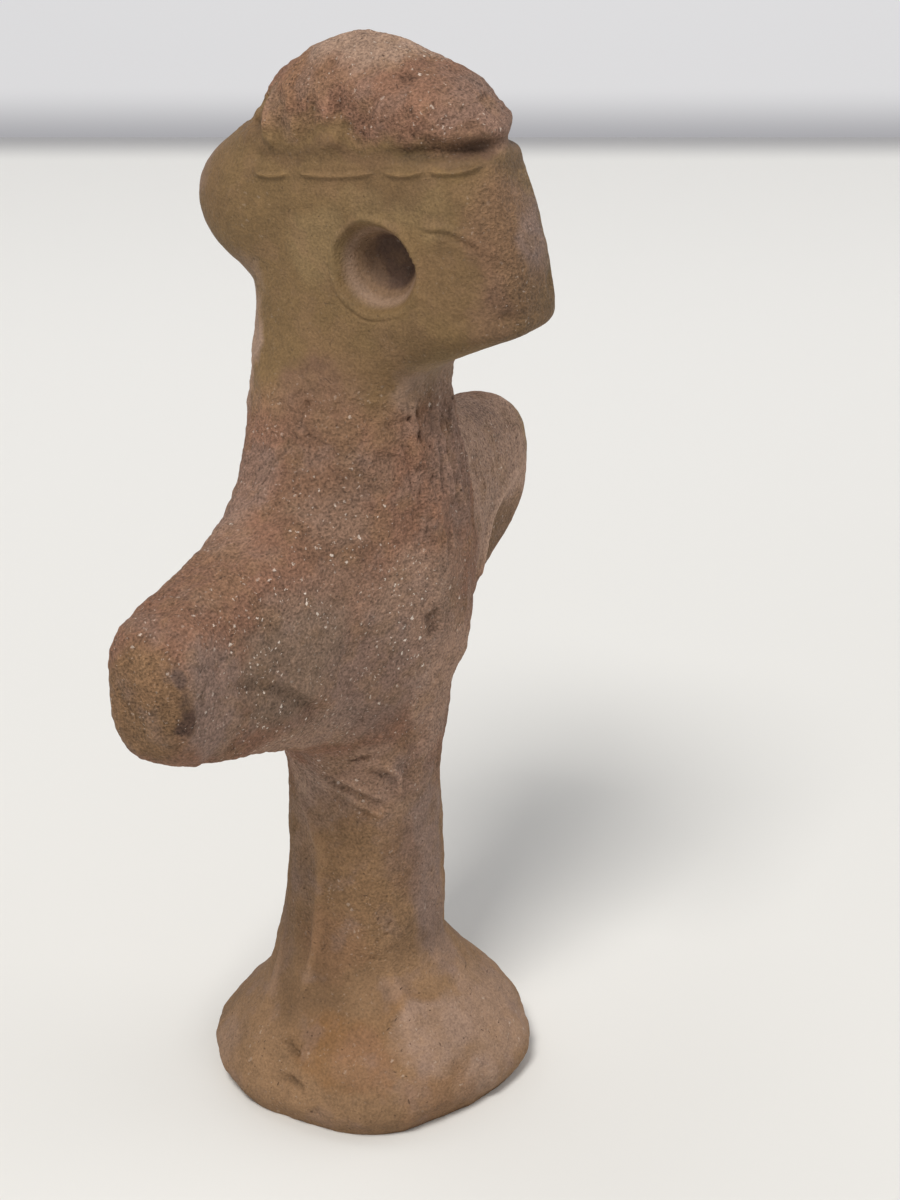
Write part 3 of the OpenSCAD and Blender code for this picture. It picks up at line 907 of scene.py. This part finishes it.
# Patches of colour: [centre, half sizes, colour, strength]
BLOTS = [
    # the cap: rose over an olive fringe, pale at the crown, darker over the brow
    [(0, 3, 138), (13, 16, 5), OLIVE, 0.75],
    [(0, -2, 136.6), (13, 26, 3), UMBER, 0.8],
    [(0, -19, 143), (10, 8, 6), LILAC, 0.5],
    [(-3, -19, 140), (7, 4, 4), RUSSET, 0.85],
    [(-2, -4, 150.5), (10, 15, 5), PALE_ROSE, 1],
    [(0, -10, 149), (6, 6, 3), CHALK_AND_PAINTED_LIGHT, 0.3],
    [(-7, 5, 145), (5, 7, 5), ORANGE, 0.6],
    # the head: honey below, mossy cheeks, a lilac beak with a dark edge, pinkish behind
    [(0, -3, 110), (13, 14, 9), HONEY, 0.8],
    [(-10, 0, 105), (7, 8, 7), RUSSET, 0.85],
    [(-8.8, 0, 125), (4, 6, 6), MOSS, 0.6],
    [(-8.8, -16, 131), (4, 6, 4), MOSS, 0.4],
    [(-8, -20, 124), (4, 7, 9), UMBER, 0.4],
    [(-8.6, -8, 133), (3, 14, 3), UMBER, 0.4],
    [(-4, -24, 127), (8, 5, 12), ROSE, 0.5],
    [(-6.5, -24.4, 120.5), (3, 3.4, 4), DARK_AND_PAINTED_SHADE, 0.3],
    [(-4, -12, 109), (6, 6, 5), PALE_ROSE, 0.35],
    [(-4, -14, 112), (6, 6, 4), MOSS, 0.4],
    [(-8.9, -8, 130), (2.4, 6, 3), MOSS, 0.4],
    [(-9, -12, 114), (4, 6, 3.5), UMBER, 0.35],
    [(8.8, 2, 126), (4, 8, 7), MOSS, 0.7],
    [(1, -27, 129), (5, 5, 10), LILAC, 0.9],
    [(-1, -27, 118), (9, 6, 7), UMBER, 0.6],
    [(-7.5, -23.5, 119), (4, 4, 7), RUSSET, 0.6],
    [(7.5, -23.5, 120), (4, 4, 8), RUSSET, 0.5],
    [(-5, 13, 107), (6, 5, 17), PALE_ROSE, 0.9],
    [(-6, 12, 113), (3, 4, 8), CHALK_AND_PAINTED_LIGHT, 0.35],
    [(0, 17, 129), (10, 7, 9), UMBER, 0.4],
    [(0, 21.5, 131), (8, 4, 7), LILAC, 0.6],
    # the groove's shade at the brow, and a pale run down the stem, below the waist's colours
    [(0, -18, 137.4), (13, 11, 2), DARK_AND_PAINTED_SHADE, 0.35],
    [(-10, 4.5, 38), (3, 4, 14), PALE_ROSE, 0.5],
    # the body: russet and rose, taupe across the right arm, paler under it
    [(-16, -5, 93), (7, 8, 13), RUSSET, 0.75],
    [(-27, -5.5, 84.5), (6, 4, 3.5), PALE_ROSE, 0.45],
    [(-18, 8, 93), (9, 8, 10), LILAC, 0.5],
    [(4, -13, 97), (9, 7, 16), LILAC, 0.6],
    [(-28, -7, 76), (15, 6, 10), TAUPE, 0.9],
    [(-8, -13, 78), (10, 7, 10), PALE_ROSE, 0.65],
    [(-15, -6, 92), (6, 6, 5), PALE_ROSE, 0.4],
    [(-10, -9, 97), (5, 5, 5), TAUPE, 0.4],
    [(-14, -4, 98), (7, 7, 7), RUSSET, 0.6],
    [(-5, -12, 106), (4, 5, 5), PALE_ROSE, 0.6],
    [(-22, -6, 63), (14, 6, 6), PALE_ROSE, 0.75],
    # the scar at the waist
    [(-10, -5, 52), (8, 9, 8), PALE_ROSE, 0.55],
    [(-10.5, 0, 47), (4, 7, 6), PALE_ROSE, 0.6],
    [(-10.4, 4, 50), (4, 5, 6), CHALK_AND_PAINTED_LIGHT, 0.4],
    [(-3, -10, 50), (5, 5, 9), LILAC, 0.5],
    # pale and lilac patches from the belly out along the right arm
    [(-20, -8, 81), (13, 7, 7), PALE_ROSE, 0.35],
    [(-28, 5, 90), (11, 7, 5), PALE_ROSE, 0.35],
    [(-1, -15, 80), (5, 4, 8), PALE_ROSE, 0.4],
    [(-43, -4, 79), (3, 4, 5), RUSSET, 0.5],
    [(-40, -5, 76), (6, 4, 13), LILAC, 0.9],
    [(-13, -10, 69), (12, 8, 12), LILAC, 0.7],
    # pale clay on the belly, painted paler still as lit from the front right
    [(1, -13, 64), (10, 6, 14), CHALK_AND_PAINTED_LIGHT, 0.45],
    [(-36, 3, 89), (13, 9, 6), ROSE, 0.8],
    # the right arm's end: honey with two dark stains
    [(-47, 2, 76), (6, 9, 11), HONEY, 0.8],
    [(-47, 1, 71), (6, 9, 7), UMBER, 0.5],
    [(-46, -3, 81), (1.8, 2.6, 2.8), DARK_AND_PAINTED_SHADE, 0.9],
    [(-45, -3.6, 75.6), (2.2, 2.4, 3.4), DARK_AND_PAINTED_SHADE, 0.9],
    # the left arm: chalky and paler still as painted light on its front, mossy at its end, with
    # painted shade in its hollow
    # pale clay, and painted light where the side light falls on the arm's front
    [(29, -2, 82), (22, 12, 18), CHALK_AND_PAINTED_LIGHT, 0.6],
    [(43, 0, 86), (5, 9, 9), MOSS, 0.8],
    [(27, -6, 80), (8, 4, 3), PALE_ROSE, 0.5],
    # painted shade in the arm's hollow under its ridge
    [(31, -4.5, 71.5), (9, 5, 7), UMBER, 0.8],
    [(20, 10, 72), (14, 8, 12), RUSSET, 0.6],
    # the stem and the foot
    [(-10, -3, 30), (6, 7, 16), HONEY, 0.6],
    [(0, -11, 36), (7, 5, 18), LILAC, 0.9],
    [(-5.5, -9.4, 44), (3, 4, 5), PALE_ROSE, 0.4],
    [(-5, -9, 38), (4, 5, 9), RUSSET, 0.5],
    [(-11, -2, 24), (5, 7, 7), ORANGE, 0.6],
    [(10, 4, 34), (6, 8, 16), ROSE, 0.6],
    [(-13.5, 0, 15), (7, 7, 9), UMBER, 0.6],
    [(-16, 15, 6), (7, 6, 6), PALE_ROSE, 0.5],
    [(-17, -6, 11), (7, 9, 7), RUST, 0.9],
    [(-9, -12, 12), (7, 7, 8), RUST, 0.4],
    [(2, -12, 20), (5, 5, 7), LILAC, 0.6],
    [(-6, -22, 5), (7, 5, 4), CHALK_AND_PAINTED_LIGHT, 0.3],
    [(-5.4, -21.5, 5), (3, 3, 2.4), CHALK_AND_PAINTED_LIGHT, 0.5],
    [(-16.5, -10, 11), (6, 6, 6), ORANGE, 0.8],
    [(-12, -19, 5), (10, 7, 6), ORANGE, 0.5],
    [(-6.5, -16, 12), (8, 7, 6), PALE_ROSE, 0.9],
    [(4, -18, 9), (12, 9, 10), PALE_ROSE, 0.65],
    [(-3.5, -22.5, 5.6), (4, 3, 3), PALE_ROSE, 0.5],
    [(12, 14, 10), (12, 10, 12), ROSE, 0.6],
    [(-4, 18, 6), (10, 7, 8), UMBER, 0.5],
]

# The bowls of the eyes, which keep to their places: walls painted pale as lit, floors painted dark
# as the shade in them
BOWL_PAINTED_LIGHT_AND_SHADE = [
    [(-5.6, -8, 122.8), (3.6, 8.2, 8.4), PALE_ROSE, 0.7],
    [(5.6, -8, 122.8), (3.6, 8.2, 8.4), PALE_ROSE, 0.7],
    [(-4.6, -8.2, 122.8), (3.2, 7, 6.6), UMBER, 0.65],
    [(4.6, -8.2, 122.8), (3.2, 7, 6.6), UMBER, 0.65],
    [(-3.8, -8.3, 122.9), (2.8, 5.6, 5.6), DARK_AND_PAINTED_SHADE, 0.85],
    [(3.8, -8.3, 122.9), (2.8, 5.6, 5.6), DARK_AND_PAINTED_SHADE, 0.85],
]

# Small light grains, the rarer large ones and small dark pits, at most one to each cell:
# (cell size, radius, share of cells)
LIGHT_SPECKS = (0.62, 0.13, 0.34)
LARGE_SPECKS = (1.3, 0.22, 0.24)
DARK_SPECKS = (1.1, 0.14, 0.32)

# Where sand lies thickest on the surface: the right arm and the belly, as (centre, half sizes)
SANDY = ((-18, -9, 76), (28, 12, 20))


def specks(finish, place, cell, radius, share):
    """Round specks: 1 near the middle of some of the cells of a random tiling."""
    inputs = {"Vector": place, "Scale": 1 / cell}
    away = finish.node("ShaderNodeTexVoronoi", {}, inputs, "Distance")
    chance = finish.node("ShaderNodeTexVoronoi", {}, inputs, "Color")
    chosen = finish.node("ShaderNodeSeparateColor", {}, {0: chance}) < share
    return chosen * (1 - finish.ramp(away, radius / cell * 0.6, radius / cell * 1.3))


def fired_clay(name):
    """Sandy clay, fired unevenly: olive and ochre where it was smoothed, rose and lilac where
    it is rough, with light grains and dark pits. Painted shade darkens its hollows, a painted
    highlight pales its ridges, and painted light and shade lie in the bowls of the eyes.
    Every measure is in millimetres, and the finish runs on unbroken from piece to piece."""
    f = Finish(name)
    local = f.node("ShaderNodeTexCoord", {}, {}, "Object")
    place = f.node("ShaderNodeVectorMath", {"operation": "SCALE"}, {0: local, "Scale": 1 / MM})
    relief = f.node("ShaderNodeAttribute", {"attribute_name": "relief"}, {}, "Fac")
    wander = f.grain(place, 7, 3, "Color")
    centred = f.node("ShaderNodeVectorMath", {"operation": "SUBTRACT"}, {0: wander, 1: (0.5,) * 3})
    drift = f.node("ShaderNodeVectorMath", {"operation": "SCALE"}, {0: centred, "Scale": 9})
    moved = f.node("ShaderNodeVectorMath", {"operation": "ADD"}, {0: place, 1: drift})
    height = f.node("ShaderNodeSeparateXYZ", {}, {0: moved}, "Z")

    # Where the clay was smoothed: the head apart from its worn beak, the lower stem, the foot
    forward = f.node("ShaderNodeSeparateXYZ", {}, {0: moved}, "Y")
    on_head = f.ramp(height, 99, 109) * (1 - f.ramp(height, 138, 141))
    on_beak = on_head * f.ramp(forward, -20, -25)
    on_stem = 1 - f.ramp(height, 40, 54)
    on_foot = 1 - f.ramp(height, 18, 32)
    smooth = on_head + on_stem * 0.45 + on_foot * 0.4 - on_beak * 0.7
    clouds = f.grain(place, 9, 4)
    mottle = f.grain(place, 1.4, 4)
    sand = f.grain(place, 0.36, 3)

    colour = f.mix(on_head, ROSE, OLIVE)
    colour = f.mix(on_stem, colour, OCHRE)
    for centre, size, tint, strength in BLOTS:
        colour = f.mix(f.blot(moved, centre, size) * strength, colour, tint)
    # painted light on the eye bowls' walls and painted shade on their floors
    for centre, size, tint, strength in BOWL_PAINTED_LIGHT_AND_SHADE:
        colour = f.mix(f.blot(place, centre, size, 3) * strength, colour, tint)
    patches = f.ramp(f.grain(place, 5, 3), 0.5, 0.68)
    colour = f.mix(patches * (1 - on_head) * 0.4, colour, LILAC)
    yellow = f.ramp(f.grain(place, 4.3, 3), 0.48, 0.66)
    colour = f.mix(yellow * 0.35, colour, OCHRE)

    tone = 1.1 - 0.07 * on_head + (clouds - 0.5) * 0.65 + (mottle - 0.5) * (0.75 - 0.35 * smooth)
    tone = tone + (sand - 0.5) * (2.2 - 1.3 * smooth)
    # painted highlight: ridges of the relief paler; painted shade: its hollows darker
    tone = tone + f.ramp(relief, 0.05, 0.5) * 0.3 - f.ramp(relief * -1, 0.15, 0.9) * 0.4
    grey = f.node("ShaderNodeCombineColor", {}, {0: tone, 1: tone, 2: tone})
    colour = f.mix(1, colour, grey, "MULTIPLY")

    rough = 1 - 0.85 * on_head - 0.65 * on_stem + on_beak * 0.5
    shake = f.grain(place, 0.35, 1, "Color")
    jitter = f.node("ShaderNodeVectorMath", {"operation": "SCALE"}, {0: shake, "Scale": 0.75})
    jagged = f.node("ShaderNodeVectorMath", {"operation": "ADD"}, {0: place, 1: jitter})
    gather = f.ramp(f.grain(place, 8, 2), 0.4, 0.62)
    sandy = f.blot(moved, *SANDY)
    rough = rough * (0.15 + 0.85 * gather) * (0.7 + 0.8 * sandy)
    light = specks(f, jagged, *LIGHT_SPECKS) * 0.7 + specks(f, jagged, *LARGE_SPECKS)
    light = light * rough
    dark = specks(f, moved, *DARK_SPECKS) * (1 - 0.6 * on_head)
    colour = f.mix(light * 0.9, colour, LIGHT_GRAIN)
    colour = f.mix(dark * 0.6, colour, DARK_AND_PAINTED_SHADE)

    bumps = (mottle * 0.35 + sand * 0.45) * (1 - 0.6 * smooth) - dark * 0.15 + light * 0.06
    normal = f.node("ShaderNodeBump", {}, {"Height": bumps, "Distance": MM, "Strength": 1.0})
    roughness = 0.9 - 0.2 * on_head - light * 0.45 + (mottle - 0.5) * 0.15
    f.feed(f.shader, {"Base Color": colour, "Roughness": roughness, "Normal": normal})
    return f.material


ochre_clay = fired_clay("ochre_clay")
rose_clay = fired_clay("rose_clay")
umber_clay = fired_clay("umber_clay")
foot(ochre_clay)
stem(ochre_clay)
torso(rose_clay)
arm_piece("clay_right_arm", -1, RIGHT_REACH, 78, umber_clay)
arm_piece("clay_left_arm", 1, LEFT_REACH, 81, umber_clay)
head(ochre_clay)
cap(rose_clay)
hair_knot(umber_clay)


# ---------------------------------------------------------------- table, light and camera


def flat(name, corners, material):
    """A flat four-cornered stage piece, given in metres."""
    mesh = bpy.data.meshes.new(name)
    mesh.from_pydata(corners, [], [range(4)])
    piece = bpy.data.objects.new(name, mesh)
    bpy.context.scene.collection.objects.link(piece)
    mesh.materials.append(material)


def wall_finish():
    """A pale grey wall that glows a little as painted light, with painted shade low down behind
    the table's edge.
    """
    f = Finish("wall_white")
    place = f.node("ShaderNodeTexCoord", {}, {}, "Object")
    height = f.node("ShaderNodeSeparateXYZ", {}, {0: place}, "Z")
    # painted shade low on the wall, behind the table's edge
    colour = f.mix(f.ramp(height, -0.19, -0.15), (0.38, 0.38, 0.4, 1), (0.7, 0.7, 0.71, 1))
    # the wall glows as painted light
    f.feed(f.shader, {"Base Color": colour, "Emission Color": colour, "Emission Strength": 0.45})
    return f.material


def table_finish(away, edge):
    """A pale matt table top, painted lighter towards the back as if better lit there, with painted
    shade over its last centimetres before the edge.
    """
    f = Finish("table_white")
    place = f.node("ShaderNodeTexCoord", {}, {}, "Object")
    inputs = {0: place, 1: away}
    distance = f.node("ShaderNodeVectorMath", {"operation": "DOT_PRODUCT"}, inputs, "Value")
    # painted light: the top grows lighter away from the camera
    colour = f.mix(f.ramp(distance, 0, 0.4), (0.74, 0.738, 0.715, 1), (0.85, 0.85, 0.83, 1))
    # painted shade along the far edge, where a rounded edge would turn from the light
    colour = f.mix(f.ramp(distance, edge - 0.035, edge), colour, (0.42, 0.42, 0.43, 1))
    f.feed(f.shader, {"Base Color": colour})
    return f.material


def table():
    """A wide pale table top, with a plain pale wall far behind it."""
    turn = math.radians(VIEW_AZIMUTH)
    right = Vector((math.cos(turn), math.sin(turn), 0))
    away = Vector((-math.sin(turn), math.cos(turn), 0))
    near, edge, wall = -1.2, 0.552, 1.3
    top = [right * x + away * y for x, y in ((-4, near), (4, near), (4, edge), (-4, edge))]
    flat("table_top", top, table_finish(away, edge))
    up = Vector((0, 0, 1))
    back = [right * x + away * wall + up * z for x, z in ((-5, -1), (5, -1), (5, 1.2), (-5, 1.2))]
    flat("wall", back, wall_finish())


def soft_light(name, place, aim, size, watts, colour):
    """A square area light at a place, turned to face a point."""
    lamp = bpy.data.lights.new(name, "AREA")
    lamp.shape = "SQUARE"
    lamp.size = size
    lamp.energy = watts
    lamp.color = colour
    light = bpy.data.objects.new(name, lamp)
    light.location = place
    light.rotation_euler = (Vector(aim) - Vector(place)).to_track_quat("-Z", "Y").to_euler()
    bpy.context.scene.collection.objects.link(light)


def camera(azimuth, pitch, distance, aim_z, shift_right, lens):
    """A camera at the end of a boom: azimuth 0 looks along +Y, pitch is down, in degrees, and
    it aims at a point to the right of the figure's middle line."""
    a, e = math.radians(azimuth), math.radians(pitch)
    back = Vector((math.sin(a) * math.cos(e), -math.cos(a) * math.cos(e), math.sin(e)))
    right = Vector((math.cos(a), math.sin(a), 0))
    aim = Vector((0, 0, aim_z)) + right * shift_right
    data = bpy.data.cameras.new("camera")
    data.lens = lens
    data.sensor_width = 36
    data.clip_start = 0.01
    eye = bpy.data.objects.new("camera", data)
    eye.location = aim + back * distance
    eye.rotation_euler = (-back).to_track_quat("-Z", "Y").to_euler()
    bpy.context.scene.collection.objects.link(eye)
    bpy.context.scene.camera = eye


table()
soft_light("lamp_front", (-0.62, -0.1, 1.05), (0, 0, 0.06), 0.34, 11, (1, 0.97, 0.93))
soft_light("lamp_back", (0.08, 0.6, 1.0), (0, 0, 0.06), 0.42, 1, (1, 0.97, 0.95))
soft_light("lamp_side", (0.75, -0.75, 0.55), (0, 0, 0.06), 1.0, 3.6, (1, 0.98, 0.97))
world = bpy.data.worlds.new("room")
world.use_nodes = True
world.node_tree.nodes["Background"].inputs["Color"].default_value = (0.98, 0.98, 1, 1)
world.node_tree.nodes["Background"].inputs["Strength"].default_value = 0.36
bpy.context.scene.world = world
bpy.context.scene.view_settings.view_transform = "Standard"
camera(VIEW_AZIMUTH, 24.6, 0.334, 0.0728, 0.0121, 73.5)
